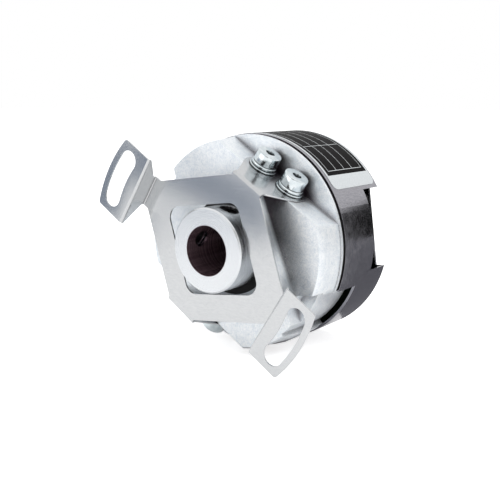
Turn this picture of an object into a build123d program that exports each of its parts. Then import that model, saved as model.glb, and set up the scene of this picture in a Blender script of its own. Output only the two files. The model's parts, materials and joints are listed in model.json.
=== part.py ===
from build123d import *
import os

# Incremental rotary encoder with a hollow shaft and a folded spring coupling.
# The shaft runs along Y. The hub face, the coupling and the motor are at the front, towards -Y.
# The origin is on the shaft axis, in the plane of the hub face, and +Z is up. Sizes are in millimetres.
# Angles are read from the front, from +X towards +Z.

# Shaft and hub
BORE_RADIUS = 6.0
SHAFT_RADIUS = 8.5
COLLAR_STEP = 1.7
COLLAR_GAP = 0.5
SHOULDER_STEP = 0.8
BORE_DEPTH = 30.0
SHAFT_END_WALL = 1.5
RING_GROOVE_DEPTH = 0.4
SET_SCREW_RADIUS = 2.1
SET_SCREW_MOUTH_RADIUS = 2.4
SET_SCREW_DEPTH = 5.0
SET_SCREW_ANGLES = (72.0, 162.0)
SET_SCREW_RECESS = 1.1
SET_SCREW_SOCKET_DEPTH = 1.2
SET_SCREW_SOCKET_FLATS = 2.5
BORE_CLEARANCE = 1.1

# Mounting flange
FLANGE_FRONT = 9.1
FLANGE_THICKNESS = 7.9
FLANGE_TAPER = 0.9
FLANGE_CHAMFER = 0.3
FLAT_CHAMFER = 0.12
RIM_RADIUS = 26.5
RIM_THICKNESS = 0.8
SPIGOT_LENGTH = 8.2
POCKET_WALL = 1.5
SPIGOT_WALL = 4.3
BEARING_TUBE_WALL = 2.6
FLAT_DISTANCE = 19.3
EAR_POCKET_DEPTH = 3.9
EAR_POCKET_REACH = 4.0
EAR_POCKET_INNER_HALF = 2.4
EAR_POCKET_OUTER_HALF = 7.3
NOTCH_START = -68.0
NOTCH_END = -21.5
RELIEF_DEPTH = 1.7
RELIEF_START = -52.0
TONGUE_LENGTH = 6.0
TONGUE_PLAY = 0.3
SEAL_LAND = 1.5
SEAL_BORE_STEP = 1.0

# Ball bearings, both alike
BEARING_WIDTH = 5.0
BEARING_RADIUS = 13.0
BEARING_SPACING = 5.0
BALL_RADIUS = 1.19
BALL_COUNT = 13
BALL_CLEARANCE = 0.05
LAND_OFFSET = 0.9
CAGE_HALF_THICKNESS = 0.55
CAGE_WIDTH = 3.4
SPACER_WALL = 1.1
RETAINING_THICKNESS = 0.8
RETAINING_REACH = 1.4
PRELOAD_THICKNESS = 0.6
PRELOAD_WIDTH = 1.1

# Spring coupling, a folded sheet
SHEET = 0.4
BEND_RADIUS = 0.5
TAB_ANGLE = 57.4
PLATE_FRONT = 2.0
PLATE_WIDTH = 6.5
PLATE_SIDE_ANGLE = 40.0
PLATE_HUB_GAP = 0.55
PLATE_CORNER_CUT = 1.2
HOLE_CORNER_RADIUS = 3.0
TAB_NECK_HALF = 4.65
TAB_HALF = 8.7
TAB_RIM_GAP = 0.4
TAB_FLARE_FRONT = 3.4
TAB_FLARE_BACK = 11.2
EAR_FOLD = 23.6
EAR_NECK_HALF = 4.2
EAR_FRONT = -3.3
EAR_HALF = 9.5
EAR_OUTER_RADIUS = 33.7
SLOT_RADIUS = 29.6
SLOT_WIDTH = 5.0
SLOT_HALF_ANGLE = 10.5

# Coupling screws, M3
COUPLING_SCREW_SPACING = 9.0
COUPLING_SCREW_DEPTH = 13.0
M3_RADIUS = 1.5
M3_CLEARANCE = 0.1
M3_HEAD_RADIUS = 3.0
M3_HEAD_HEIGHT = 2.8
M3_LENGTH = 8.0
RECESS_DEPTH = 0.9
RECESS_HALF_LENGTH = 1.5
RECESS_HALF_WIDTH = 0.28
RECESS_CORE_RADIUS = 0.65
FLAT_WASHER = 0.5
FLAT_WASHER_RADIUS = 3.5
SPRING_WASHER = 0.8
SPRING_WASHER_RADIUS = 3.2
SPRING_WASHER_CUT = 0.5

# Cover and its seal
COVER_STEP = 0.2
COVER_WALL = 0.6
COVER_CORNER = 1.2
COVER_HEADROOM = 0.6
NOTCH_OVERRUN = 0.5
SEAL_GROOVE_DEPTH = 0.8
SEAL_GROOVE_WIDTH = 1.0
SEAL_STRIP_RADIUS = 0.45
CUTOUT_ANGLE = 7.6
CUTOUT_HALF = 10.0
CUTOUT_DEPTH = 8.2
CUTOUT_INSET = 4.0

# Code disc and scanning
DISC_GAP = 1.8
DISC_THICKNESS = 0.9
DISC_EDGE_GAP = 1.6
DISC_BORE_RADIUS = 10.0
DISC_HUB_NECK = 10.6
DISC_CLAMP_RADIUS = 13.0
DISC_SHOULDER = 1.2
DISC_NUT_HEIGHT = 1.5
SCAN_GAP = 0.5
SCAN_ANGLE = CUTOUT_ANGLE + 180
LAMP_SHARE = 0.3
LAMP_WALL = 2.0
LAMP_FLANGE = 2.0
LAMP_BODY = 1.5
LENS_LENGTH = 2.0
HOLDER_HALF = 4.5
HOLDER_CLEARANCE = 0.4
HOLDER_DISC_GAP = 1.0
RIBBON_THICKNESS = 0.3
RIBBON_HALF = 2.5
MASK_THICKNESS = 0.8
SENSOR_NUT_GAP = 2.0
SENSOR_RIBBON_GAP = 0.1
SENSOR_HALF = 5.0

# Main board
SENSOR_HEIGHT = 2.4
BOARD_THICKNESS = 1.6
BOARD_EDGE_GAP = 0.5
BOARD_FLAT_INSET = 3.6
STANDOFF_FLATS = 3.2
STANDOFF_ANGLES = (50.0, 160.0, 280.0)
M2_RADIUS = 0.8
M2_HOLE_RADIUS = 1.1
M2_HEAD_RADIUS = 1.75
M2_HEAD_HEIGHT = 1.2
M2_LENGTH = 6.4
HEADER_LENGTH = 9.0
HEADER_HALF = 8.0
HEADER_HEIGHT = 3.4
HEADER_WALL = 0.6
HEADER_FLOOR = 2.0
HEADER_SETBACK = 0.5
HEADER_KEY_HALF = 1.6
PIN_COUNT = 6
PIN_PITCH = 2.0
PIN_HALF = 0.25
PIN_SETBACK = 1.6
CHIP_SIDE = 7.0
CHIP_HEIGHT = 1.5
SMALL_CHIP_LENGTH = 6.0
SMALL_CHIP_WIDTH = 4.4
CAN_RADIUS = 2.0
CAN_GAP = 0.8
CAPACITOR_COUNT = 5
CAPACITOR_PITCH = 2.4
CAPACITOR_LENGTH = 2.0
CAPACITOR_WIDTH = 1.2
CAPACITOR_HEIGHT = 0.9

# Values that follow from the ones above, from the front to the back
COLLAR_RADIUS = SHAFT_RADIUS + COLLAR_STEP
COLLAR_BACK = FLANGE_FRONT - COLLAR_GAP
SHOULDER_RADIUS = SHAFT_RADIUS + SHOULDER_STEP
COVER_RADIUS = RIM_RADIUS + COVER_STEP
COVER_INNER_RADIUS = COVER_RADIUS - COVER_WALL
SKIRT_INNER_RADIUS = COVER_INNER_RADIUS - SPIGOT_WALL
RIM_FRONT = FLANGE_FRONT + FLANGE_THICKNESS
RIM_BACK = RIM_FRONT + RIM_THICKNESS
FLANGE_FRONT_RADIUS = RIM_RADIUS - FLANGE_TAPER
RELIEF_RADIUS = RIM_RADIUS - RELIEF_DEPTH
SPIGOT_BACK = RIM_BACK + SPIGOT_LENGTH
POCKET_FLOOR = RIM_FRONT + POCKET_WALL
BEARING_TUBE_RADIUS = BEARING_RADIUS + BEARING_TUBE_WALL
SEAL_BORE_RADIUS = BEARING_RADIUS - SEAL_BORE_STEP
FRONT_BEARING = FLANGE_FRONT + SEAL_LAND
REAR_BEARING = FRONT_BEARING + BEARING_WIDTH + BEARING_SPACING
SHAFT_RING_FRONT = REAR_BEARING + BEARING_WIDTH
SHAFT_RING_BACK = SHAFT_RING_FRONT + RETAINING_THICKNESS
SHAFT_GROOVE_RADIUS = SHAFT_RADIUS - RING_GROOVE_DEPTH
HOUSING_RING_FRONT = SHAFT_RING_FRONT + PRELOAD_THICKNESS
HOUSING_RING_BACK = HOUSING_RING_FRONT + RETAINING_THICKNESS
HOUSING_GROOVE_RADIUS = BEARING_RADIUS + RING_GROOVE_DEPTH
BEARING_TUBE_BACK = HOUSING_RING_BACK + RETAINING_THICKNESS
SHAFT_BACK = BORE_DEPTH + SHAFT_END_WALL
PITCH_RADIUS = (SHAFT_RADIUS + BEARING_RADIUS) / 2
INNER_LAND_RADIUS = PITCH_RADIUS - LAND_OFFSET
OUTER_LAND_RADIUS = PITCH_RADIUS + LAND_OFFSET
HOLE_SIDE_DISTANCE = COLLAR_RADIUS + PLATE_HUB_GAP
PLATE_SIDE_DISTANCE = HOLE_SIDE_DISTANCE + PLATE_WIDTH
TAB_BACK = RIM_FRONT - TAB_RIM_GAP
FLAT_WASHER_SEAT = FLAT_DISTANCE + SHEET
SPRING_WASHER_SEAT = FLAT_WASHER_SEAT + FLAT_WASHER
HEAD_SEAT = SPRING_WASHER_SEAT + SPRING_WASHER
HEAD_TOP = HEAD_SEAT + M3_HEAD_HEIGHT
COVER_FRONT = RIM_BACK + SEAL_GROOVE_WIDTH - COVER_STEP
COVER_NOTCH_BACK = SPIGOT_BACK + NOTCH_OVERRUN
SEAL_GROOVE_RADIUS = COVER_INNER_RADIUS - SEAL_GROOVE_DEPTH
DISC_FRONT = BEARING_TUBE_BACK + DISC_GAP
DISC_BACK = DISC_FRONT + DISC_THICKNESS
DISC_RADIUS = SKIRT_INNER_RADIUS - DISC_EDGE_GAP
DISC_NUT_BACK = DISC_BACK + DISC_NUT_HEIGHT
HOLDER_INNER = BEARING_TUBE_RADIUS + HOLDER_CLEARANCE
HOLDER_OUTER = SKIRT_INNER_RADIUS - RIBBON_THICKNESS - HOLDER_CLEARANCE
SCAN_RADIUS = (HOLDER_INNER + HOLDER_OUTER) / 2
LAMP_RADIUS = LAMP_SHARE * (HOLDER_OUTER - HOLDER_INNER)
SENSOR_INNER = DISC_CLAMP_RADIUS + SENSOR_NUT_GAP
SENSOR_OUTER = HOLDER_OUTER - SENSOR_RIBBON_GAP
HOLDER_BACK = DISC_FRONT - HOLDER_DISC_GAP
LAMP_FRONT = POCKET_FLOOR + LAMP_WALL
LENS_BACK = HOLDER_BACK - HOLDER_CLEARANCE
MASK_FRONT = DISC_BACK + SCAN_GAP
MASK_BACK = MASK_FRONT + MASK_THICKNESS
BOARD_FRONT = MASK_BACK + SENSOR_HEIGHT
BOARD_BACK = BOARD_FRONT + BOARD_THICKNESS
BOARD_RADIUS = COVER_INNER_RADIUS - BOARD_EDGE_GAP
STANDOFF_RADIUS = (SKIRT_INNER_RADIUS + COVER_INNER_RADIUS) / 2
BOARD_FLAT = COVER_INNER_RADIUS - BOARD_FLAT_INSET
HEADER_FACE = BOARD_FLAT - HEADER_SETBACK
HEADER_START = HEADER_FACE - HEADER_LENGTH
HEADER_TOP = BOARD_BACK + HEADER_HEIGHT
COVER_BACK = HEADER_TOP + COVER_HEADROOM + COVER_WALL
CUTOUT_FRONT = COVER_BACK - CUTOUT_DEPTH
CUTOUT_REACH = COVER_INNER_RADIUS - CUTOUT_INSET


def turned(points):
    """A solid turned about the shaft axis from its outline, given as radius and depth."""
    return revolve(make_face(Polyline(*points, close=True)), Axis.Y)


def ring(inner, outer, front, back):
    """A plain ring round the shaft axis."""
    return turned([(inner, front), (outer, front), (outer, back), (inner, back)])


def facing(depth):
    """The plane at a depth that faces the front, with its y axis up."""
    return Plane(origin=(0, depth, 0), x_dir=(1, 0, 0), z_dir=(0, -1, 0))


def slab(outline, front, back):
    """An outline drawn as seen from the front, given a thickness."""
    return extrude(facing(front) * outline, amount=front - back)


def side_slab(outline, start, end):
    """An outline drawn as sideways place and depth, given a thickness along +X."""
    plane = Plane(origin=(start, 0, 0), x_dir=(0, 0, 1), z_dir=(-1, 0, 0))
    return extrude(plane * outline, amount=start - end)


def at_angle(angle, shape):
    """A shape drawn outwards along +X, turned to its angle about the shaft."""
    return Rot(0, -angle, 0) * shape


def block(x_range, y_range, z_range):
    """A box between two values on each axis."""
    low = [r[0] for r in (x_range, y_range, z_range)]
    high = [r[1] for r in (x_range, y_range, z_range)]
    size = [b - a for a, b in zip(low, high)]
    return Pos(*low) * Box(*size, align=(Align.MIN, Align.MIN, Align.MIN))


def bar_out(radius, start, end, depth, side=0.0):
    """A round bar along +X from start to end, at a depth and a sideways place."""
    bar = Cylinder(radius, end - start, align=(Align.CENTER, Align.CENTER, Align.MIN))
    return Pos(start, depth, side) * Rot(0, 90, 0) * bar


def bar_back(radius, place, front, back):
    """A round bar along the shaft's direction, at a place seen from the front."""
    return slab(Pos(*place) * Circle(radius), front, back)


def hex_bar(across_flats, place, front, back):
    """A hexagonal bar along the shaft's direction."""
    return slab(Pos(*place) * RegularPolygon(across_flats / 2, 6, major_radius=False), front, back)


def polar(radius, angle):
    """A place seen from the front, from its radius and angle."""
    place = Vector(radius, 0).rotate(Axis.Z, angle)
    return place.X, place.Y


def sector(radius, start, end, front, back):
    """A pie-shaped solid between two angles."""
    middle = (start + end) / 2
    corners = [(0, 0), polar(radius, start), polar(radius, end)]
    edges = [Line(corners[0], corners[1]), Line(corners[2], corners[0])]
    arc = ThreePointArc(corners[1], polar(radius, middle), corners[2])
    return slab(make_face([edges[0], arc, edges[1]]), front, back)


# Rotor

def hollow_shaft():
    """Turned shaft with the hub collar in front, its set screw holes and the retaining groove."""
    shape = turned([
        (BORE_RADIUS, 0), (COLLAR_RADIUS - 0.4, 0), (COLLAR_RADIUS, 0.4),
        (COLLAR_RADIUS, COLLAR_BACK), (SHOULDER_RADIUS, COLLAR_BACK), (SHOULDER_RADIUS, FRONT_BEARING),
        (SHAFT_RADIUS, FRONT_BEARING), (SHAFT_RADIUS, SHAFT_RING_FRONT),
        (SHAFT_GROOVE_RADIUS, SHAFT_RING_FRONT), (SHAFT_GROOVE_RADIUS, SHAFT_RING_BACK),
        (SHAFT_RADIUS, SHAFT_RING_BACK), (SHAFT_RADIUS, SHAFT_BACK),
        (0, SHAFT_BACK), (0, BORE_DEPTH), (BORE_RADIUS, BORE_DEPTH),
    ])
    hole = bar_out(SET_SCREW_RADIUS, BORE_RADIUS - 1.5, COLLAR_RADIUS + 1, SET_SCREW_DEPTH)
    hole += bar_out(SET_SCREW_MOUTH_RADIUS, COLLAR_RADIUS - 0.8, COLLAR_RADIUS + 1, SET_SCREW_DEPTH)
    for angle in SET_SCREW_ANGLES:
        shape -= at_angle(angle, hole)
    return shape


def hub_set_screws():
    """Socket set screws, drawn back clear of the bore and sunk below the collar."""
    start = BORE_RADIUS + BORE_CLEARANCE
    end = COLLAR_RADIUS - SET_SCREW_RECESS
    screw = bar_out(SET_SCREW_RADIUS, start, end, SET_SCREW_DEPTH)
    hexagon = RegularPolygon(SET_SCREW_SOCKET_FLATS / 2, 6, major_radius=False)
    socket = Rot(0, 90, 0) * extrude(hexagon, amount=SET_SCREW_SOCKET_DEPTH + 1)
    screw -= Pos(end - SET_SCREW_SOCKET_DEPTH, SET_SCREW_DEPTH, 0) * socket
    return [at_angle(angle, screw) for angle in SET_SCREW_ANGLES]


def disc_hub():
    """Sleeve on the shaft with a shoulder and a pilot for the code disc."""
    shoulder = DISC_FRONT - DISC_SHOULDER
    return turned([
        (SHAFT_RADIUS, SHAFT_RING_BACK), (DISC_HUB_NECK, SHAFT_RING_BACK), (DISC_HUB_NECK, shoulder),
        (DISC_CLAMP_RADIUS, shoulder), (DISC_CLAMP_RADIUS, DISC_FRONT), (DISC_BORE_RADIUS, DISC_FRONT),
        (DISC_BORE_RADIUS, DISC_NUT_BACK + 0.2), (SHAFT_RADIUS, DISC_NUT_BACK + 0.2),
    ])


def disc_nut():
    """Round nut that holds the code disc, with four spanner slots."""
    nut = ring(DISC_BORE_RADIUS, DISC_CLAMP_RADIUS, DISC_BACK, DISC_NUT_BACK)
    edge = DISC_CLAMP_RADIUS
    slot = block((edge - 0.9, edge + 1), (DISC_BACK + 0.4, DISC_NUT_BACK + 1), (-0.8, 0.8))
    for index in range(4):
        nut -= at_angle(index * 90, slot)
    return nut


def retaining_ring(groove, free, front, gap_angle):
    """A snap ring in its groove, with an open gap."""
    low = min(groove, free)
    high = max(groove, free)
    back = front + RETAINING_THICKNESS
    gap = sector(high + 2, gap_angle - 9, gap_angle + 9, front - 1, back + 1)
    return ring(low, high, front, back) - gap


def shaft_retaining_ring():
    """Outer snap ring behind the rear bearing."""
    return retaining_ring(SHAFT_GROOVE_RADIUS, SHAFT_RADIUS + RETAINING_REACH, SHAFT_RING_FRONT, 40)


def code_disc():
    return ring(DISC_BORE_RADIUS, DISC_RADIUS, DISC_FRONT, DISC_BACK)


# Bearings

def race_groove(middle):
    """The round groove that the balls run in."""
    return Pos(0, middle, 0) * Rot(90, 0, 0) * Torus(PITCH_RADIUS, BALL_RADIUS + BALL_CLEARANCE)


def inner_ring(front):
    shape = ring(SHAFT_RADIUS, INNER_LAND_RADIUS, front, front + BEARING_WIDTH)
    return shape - race_groove(front + BEARING_WIDTH / 2)


def outer_ring(front):
    shape = ring(OUTER_LAND_RADIUS, BEARING_RADIUS, front, front + BEARING_WIDTH)
    return shape - race_groove(front + BEARING_WIDTH / 2)


def ball_angles():
    return [index * 360 / BALL_COUNT for index in range(BALL_COUNT)]


def balls(front):
    ball = Pos(PITCH_RADIUS, front + BEARING_WIDTH / 2, 0) * Sphere(BALL_RADIUS)
    return [at_angle(angle, ball) for angle in ball_angles()]


def ball_cage(front):
    """Ring between the races with a round pocket for each ball."""
    middle = front + BEARING_WIDTH / 2
    low = PITCH_RADIUS - CAGE_HALF_THICKNESS
    high = PITCH_RADIUS + CAGE_HALF_THICKNESS
    shape = ring(low, high, middle - CAGE_WIDTH / 2, middle + CAGE_WIDTH / 2)
    pocket = bar_out(BALL_RADIUS + BALL_CLEARANCE, low - 1, high + 1, middle)
    for angle in ball_angles():
        shape -= at_angle(angle, pocket)
    return shape


def bearing_spacer():
    """Sleeve that keeps the two inner rings apart."""
    return ring(SHAFT_RADIUS, SHAFT_RADIUS + SPACER_WALL, FRONT_BEARING + BEARING_WIDTH, REAR_BEARING)


def shaft_seal():
    """Seal in the flange's front bore, in light contact with the shaft's shoulder."""
    inner = SHOULDER_RADIUS + 0.1
    return ring(inner, SEAL_BORE_RADIUS, FLANGE_FRONT + 0.2, FRONT_BEARING - 0.1)


def preload_washer():
    """Spring washer that presses on the rear outer ring only."""
    return ring(BEARING_RADIUS - PRELOAD_WIDTH, BEARING_RADIUS, SHAFT_RING_FRONT, HOUSING_RING_FRONT)


def housing_retaining_ring():
    """Inner snap ring that holds the preload washer."""
    return retaining_ring(HOUSING_GROOVE_RADIUS, BEARING_RADIUS - RETAINING_REACH, HOUSING_RING_FRONT, 120)


# Flange

def ear_pocket():
    """The shallow pocket behind a coupling ear, open outwards along +X."""
    inner, outer = FLANGE_FRONT_RADIUS - EAR_POCKET_REACH, RIM_RADIUS + 1
    low, high = EAR_POCKET_INNER_HALF, EAR_POCKET_OUTER_HALF
    outline = make_face(Polyline((inner, -low), (inner, low), (outer, high), (outer, -high), close=True))
    outline = fillet(outline.vertices().sort_by(Axis.X)[:2], 1.2)
    return slab(outline, FLANGE_FRONT - 1, FLANGE_FRONT + EAR_POCKET_DEPTH)


def flange_flat():
    """What is milled away for one tab seat with its chamfered edge, open outwards along +X."""
    outline = Polyline(
        (FLAT_DISTANCE - FLAT_CHAMFER, FLANGE_FRONT - 1), (FLAT_DISTANCE - FLAT_CHAMFER, FLANGE_FRONT),
        (FLAT_DISTANCE, FLANGE_FRONT + FLAT_CHAMFER), (FLAT_DISTANCE, RIM_FRONT),
        (RIM_RADIUS + 5, RIM_FRONT), (RIM_RADIUS + 5, FLANGE_FRONT - 1), close=True)
    return extrude(make_face(outline), amount=RIM_RADIUS, both=True)


def relief():
    """The sector where the flange is cut back to a smaller radius, under the front of the cover's notch."""
    front, back = FLANGE_FRONT - 1, SPIGOT_BACK + 1
    keep = ring(0, RELIEF_RADIUS, front - 1, back + 1)
    return sector(2 * RIM_RADIUS, RELIEF_START, NOTCH_END, front, back) - keep


def notch_tongue():
    """The part of the flange that fills the rest of the cover's notch and keeps the cover from turning."""
    front, back = RIM_BACK, RIM_BACK + TONGUE_LENGTH
    keep = ring(0, SEAL_GROOVE_RADIUS - 0.5, front - 1, back + 1)
    return sector(RIM_RADIUS, NOTCH_START + TONGUE_PLAY, RELIEF_START + 1, front, back) - keep


def mounting_flange():
    """Machined front body: rim, spigot for the cover, bearing tube, tab seats and pockets."""
    spigot = COVER_INNER_RADIUS
    shape = turned([
        (SEAL_BORE_RADIUS, FLANGE_FRONT), (FLANGE_FRONT_RADIUS - FLANGE_CHAMFER, FLANGE_FRONT),
        (FLANGE_FRONT_RADIUS, FLANGE_FRONT + FLANGE_CHAMFER), (RIM_RADIUS - FLANGE_CHAMFER, RIM_FRONT),
        (RIM_RADIUS, RIM_FRONT), (RIM_RADIUS, RIM_BACK), (SEAL_GROOVE_RADIUS, RIM_BACK),
        (SEAL_GROOVE_RADIUS, RIM_BACK + SEAL_GROOVE_WIDTH), (spigot, RIM_BACK + SEAL_GROOVE_WIDTH),
        (spigot, SPIGOT_BACK), (SKIRT_INNER_RADIUS, SPIGOT_BACK), (SKIRT_INNER_RADIUS, POCKET_FLOOR),
        (BEARING_TUBE_RADIUS, POCKET_FLOOR), (BEARING_TUBE_RADIUS, BEARING_TUBE_BACK),
        (BEARING_RADIUS, BEARING_TUBE_BACK), (BEARING_RADIUS, HOUSING_RING_BACK),
        (HOUSING_GROOVE_RADIUS, HOUSING_RING_BACK), (HOUSING_GROOVE_RADIUS, HOUSING_RING_FRONT),
        (BEARING_RADIUS, HOUSING_RING_FRONT), (BEARING_RADIUS, FRONT_BEARING),
        (SEAL_BORE_RADIUS, FRONT_BEARING),
    ])
    shape += notch_tongue()
    hole = bar_out(M3_RADIUS, HEAD_SEAT - M3_LENGTH - 0.2, RIM_RADIUS + 5, COUPLING_SCREW_DEPTH)
    for side in (TAB_ANGLE, TAB_ANGLE + 180):
        shape -= at_angle(side, flange_flat())
        shape -= at_angle(side + 90, ear_pocket())
        for place in (-COUPLING_SCREW_SPACING / 2, COUPLING_SCREW_SPACING / 2):
            shape -= at_angle(side, Pos(0, 0, place) * hole)
    return shape - relief()


def cover_seal():
    """Black sealing strip in the rim's groove, left out at the cover's notch."""
    minor = SEAL_STRIP_RADIUS
    strip = Pos(0, RIM_BACK + minor, 0) * Rot(90, 0, 0) * Torus(SEAL_GROOVE_RADIUS + minor, minor)
    return strip - sector(2 * RIM_RADIUS, NOTCH_START, NOTCH_END, FLANGE_FRONT, SPIGOT_BACK)


# Coupling

def diamond(side_distance):
    """The coupling's diamond, longer towards the ears, which lie along the y axis."""
    tip = side_distance / cos_of(PLATE_SIDE_ANGLE)
    top = side_distance / cos_of(90 - PLATE_SIDE_ANGLE)
    return make_face(Polyline((tip, 0), (0, top), (-tip, 0), (0, -top), close=True))


def cos_of(angle):
    """Cosine of an angle in degrees."""
    return Vector(1, 0).rotate(Axis.Z, angle).X


def plate_outline():
    """Diamond with cut corners, the four necks and the rounded hole."""
    tab_end = FLAT_DISTANCE + SHEET - BEND_RADIUS
    ear_end = EAR_FOLD - BEND_RADIUS
    cut_tips = Rectangle(2 * (FLAT_DISTANCE - PLATE_CORNER_CUT / 2), 2 * (EAR_FOLD - PLATE_CORNER_CUT))
    body = diamond(PLATE_SIDE_DISTANCE) & cut_tips
    body += Rectangle(2 * tab_end, 2 * TAB_NECK_HALF)
    body += Rectangle(2 * EAR_NECK_HALF, 2 * ear_end)
    hole = diamond(HOLE_SIDE_DISTANCE)
    return body - fillet(hole.vertices(), HOLE_CORNER_RADIUS)


def bent_strip(path, half_width):
    """Sheet bent along a path in the XY plane, with the same width all along."""
    line = FilletPolyline(*path, radius=BEND_RADIUS)
    return extrude(trace(line, SHEET), amount=half_width, both=True)


def tab_outline():
    """The screw tab laid flat, as depth and sideways place."""
    right = [
        (TAB_NECK_HALF, PLATE_FRONT - 1), (TAB_NECK_HALF, TAB_FLARE_FRONT),
        (TAB_HALF, TAB_FLARE_BACK), (TAB_HALF, TAB_BACK),
    ]
    left = [(-x, y) for x, y in reversed(right)]
    shape = make_face(Polyline(*right, *left, close=True))
    waist = shape.vertices().filter_by_position(Axis.Y, TAB_FLARE_FRONT - 0.1, TAB_FLARE_BACK + 0.1)
    shape = fillet(waist, 1.5)
    return fillet(shape.vertices().sort_by(Axis.Y)[-2:], 2.8)


def screw_tab():
    """Tab folded back onto the flange's flat, with two screw holes, outwards along +X."""
    middle = PLATE_FRONT + SHEET / 2
    out = FLAT_DISTANCE + SHEET / 2
    strip = bent_strip([(out - 2, middle), (out, middle), (out, TAB_BACK + 1)], TAB_HALF + 1)
    shape = strip & side_slab(tab_outline(), out - 4, out + 4)
    for place in (-COUPLING_SCREW_SPACING / 2, COUPLING_SCREW_SPACING / 2):
        shape -= bar_out(M3_RADIUS + M3_CLEARANCE, out - 4, out + 4, COUPLING_SCREW_DEPTH, place)
    return shape


def ear_outline():
    """The ear seen from the front, outwards along +X, with its arc slot."""
    plate = Rectangle(2 * EAR_OUTER_RADIUS, 2 * EAR_HALF) & Circle(EAR_OUTER_RADIUS)
    corners = plate.vertices().sort_by(Axis.X)[-2:]
    plate = fillet(corners, 0.8)
    middle = CenterArc((0, 0), SLOT_RADIUS, -SLOT_HALF_ANGLE, 2 * SLOT_HALF_ANGLE)
    return plate - SlotArc(middle, SLOT_WIDTH)


def leg_outline():
    """The ear's leg seen from outside, as sideways place and depth."""
    leg = [
        (EAR_NECK_HALF, PLATE_FRONT + 1), (EAR_NECK_HALF, PLATE_FRONT - 0.8),
        (EAR_HALF, EAR_FRONT + 0.9), (EAR_HALF + 1, EAR_FRONT - 1.7),
    ]
    mirrored = [(-x, y) for x, y in reversed(leg)]
    return make_face(Polyline(*leg, *mirrored, close=True))


def ear():
    """Ear folded forward and then outwards, towards +X, as one bent strip cut to its outline."""
    low = PLATE_FRONT + SHEET / 2
    high = EAR_FRONT + SHEET / 2
    path = [(EAR_FOLD - 2.2, low), (EAR_FOLD, low), (EAR_FOLD, high), (EAR_OUTER_RADIUS + 1, high)]
    shape = bent_strip(path, EAR_HALF + 2)
    shape &= slab(ear_outline(), EAR_FRONT - 1, PLATE_FRONT + 2)
    return shape & side_slab(leg_outline(), EAR_FOLD - 5, EAR_OUTER_RADIUS + 2)


def stator_coupling():
    """The whole folded sheet, turned so that its tabs sit on the flange's flats."""
    shape = slab(plate_outline(), PLATE_FRONT, PLATE_FRONT + SHEET)
    for side in (0, 180):
        shape += at_angle(side, screw_tab())
        shape += at_angle(side + 90, ear())
    return at_angle(TAB_ANGLE, shape)


def on_tabs(shape):
    """The four copies of a fastener that is drawn on the first tab."""
    half = COUPLING_SCREW_SPACING / 2
    places = [(side, step) for side in (TAB_ANGLE, TAB_ANGLE + 180) for step in (-half, half)]
    return [at_angle(side, Pos(0, COUPLING_SCREW_DEPTH, step) * shape) for side, step in places]


def coupling_screws():
    """Cylinder head screws with a cross recess."""
    head = bar_out(M3_HEAD_RADIUS, HEAD_SEAT, HEAD_TOP, 0)
    head = fillet(head.edges().filter_by(GeomType.CIRCLE).sort_by(Axis.X)[-1], 0.3)
    screw = head + bar_out(M3_RADIUS, HEAD_SEAT - M3_LENGTH, HEAD_SEAT, 0)
    screw -= bar_out(RECESS_CORE_RADIUS, HEAD_TOP - 1.5 * RECESS_DEPTH, HEAD_TOP + 1, 0)
    length = (-RECESS_HALF_LENGTH, RECESS_HALF_LENGTH)
    width = (-RECESS_HALF_WIDTH, RECESS_HALF_WIDTH)
    for turn in (20, 110):
        screw -= Rot(turn, 0, 0) * block((HEAD_TOP - RECESS_DEPTH, HEAD_TOP + 1), length, width)
    return on_tabs(screw)


def washer(radius, seat, thickness):
    """A flat ring under a screw head, drawn on the first tab."""
    hole = bar_out(M3_RADIUS + M3_CLEARANCE, seat - 1, seat + 2, 0)
    return bar_out(radius, seat, seat + thickness, 0) - hole


def coupling_flat_washers():
    return on_tabs(washer(FLAT_WASHER_RADIUS, FLAT_WASHER_SEAT, FLAT_WASHER))


def coupling_spring_washers():
    """Split washers, each cut through at one place."""
    seat = SPRING_WASHER_SEAT
    half = SPRING_WASHER_CUT / 2
    cut = Rot(25, 0, 0) * block((seat - 1, seat + 2), (-half, half), (0, SPRING_WASHER_RADIUS + 1))
    return on_tabs(washer(SPRING_WASHER_RADIUS, seat, SPRING_WASHER) - cut)


# Cover

def cup(radius, front, back, corner):
    """A solid drum with a rounded back edge."""
    shape = turned([(0, front), (radius, front), (radius, back), (0, back)])
    return fillet(shape.edges().filter_by(GeomType.CIRCLE).sort_by(Axis.Y)[-1], corner)


def rear_cover():
    """Drawn cup with a notch in its front edge and a rectangular cut-out at the back."""
    inner = cup(COVER_INNER_RADIUS, COVER_FRONT - 5, COVER_BACK - COVER_WALL, COVER_CORNER - COVER_WALL)
    shape = cup(COVER_RADIUS, COVER_FRONT, COVER_BACK, COVER_CORNER) - inner
    shape -= sector(2 * COVER_RADIUS, NOTCH_START, NOTCH_END, COVER_FRONT - 1, COVER_NOTCH_BACK)
    cutout = block(
        (CUTOUT_REACH, COVER_RADIUS + 5), (CUTOUT_FRONT, COVER_BACK + 5), (-CUTOUT_HALF, CUTOUT_HALF))
    return shape - at_angle(CUTOUT_ANGLE, cutout)


# Scanning

def lamp_bar(radius, front, back):
    """A round bar on the lamp's axis, drawn outwards along +X."""
    return bar_back(radius, (SCAN_RADIUS, 0), front, back)


def emitter_holder():
    """Moulded block on the pocket floor with a bore for the lamp and its lens."""
    holder = block((HOLDER_INNER, HOLDER_OUTER), (POCKET_FLOOR, HOLDER_BACK), (-HOLDER_HALF, HOLDER_HALF))
    holder = fillet(holder.edges().filter_by(Axis.Y), 0.8)
    return at_angle(SCAN_ANGLE, holder - lamp_bar(LAMP_RADIUS, LAMP_FRONT, HOLDER_BACK + 1))


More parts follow.
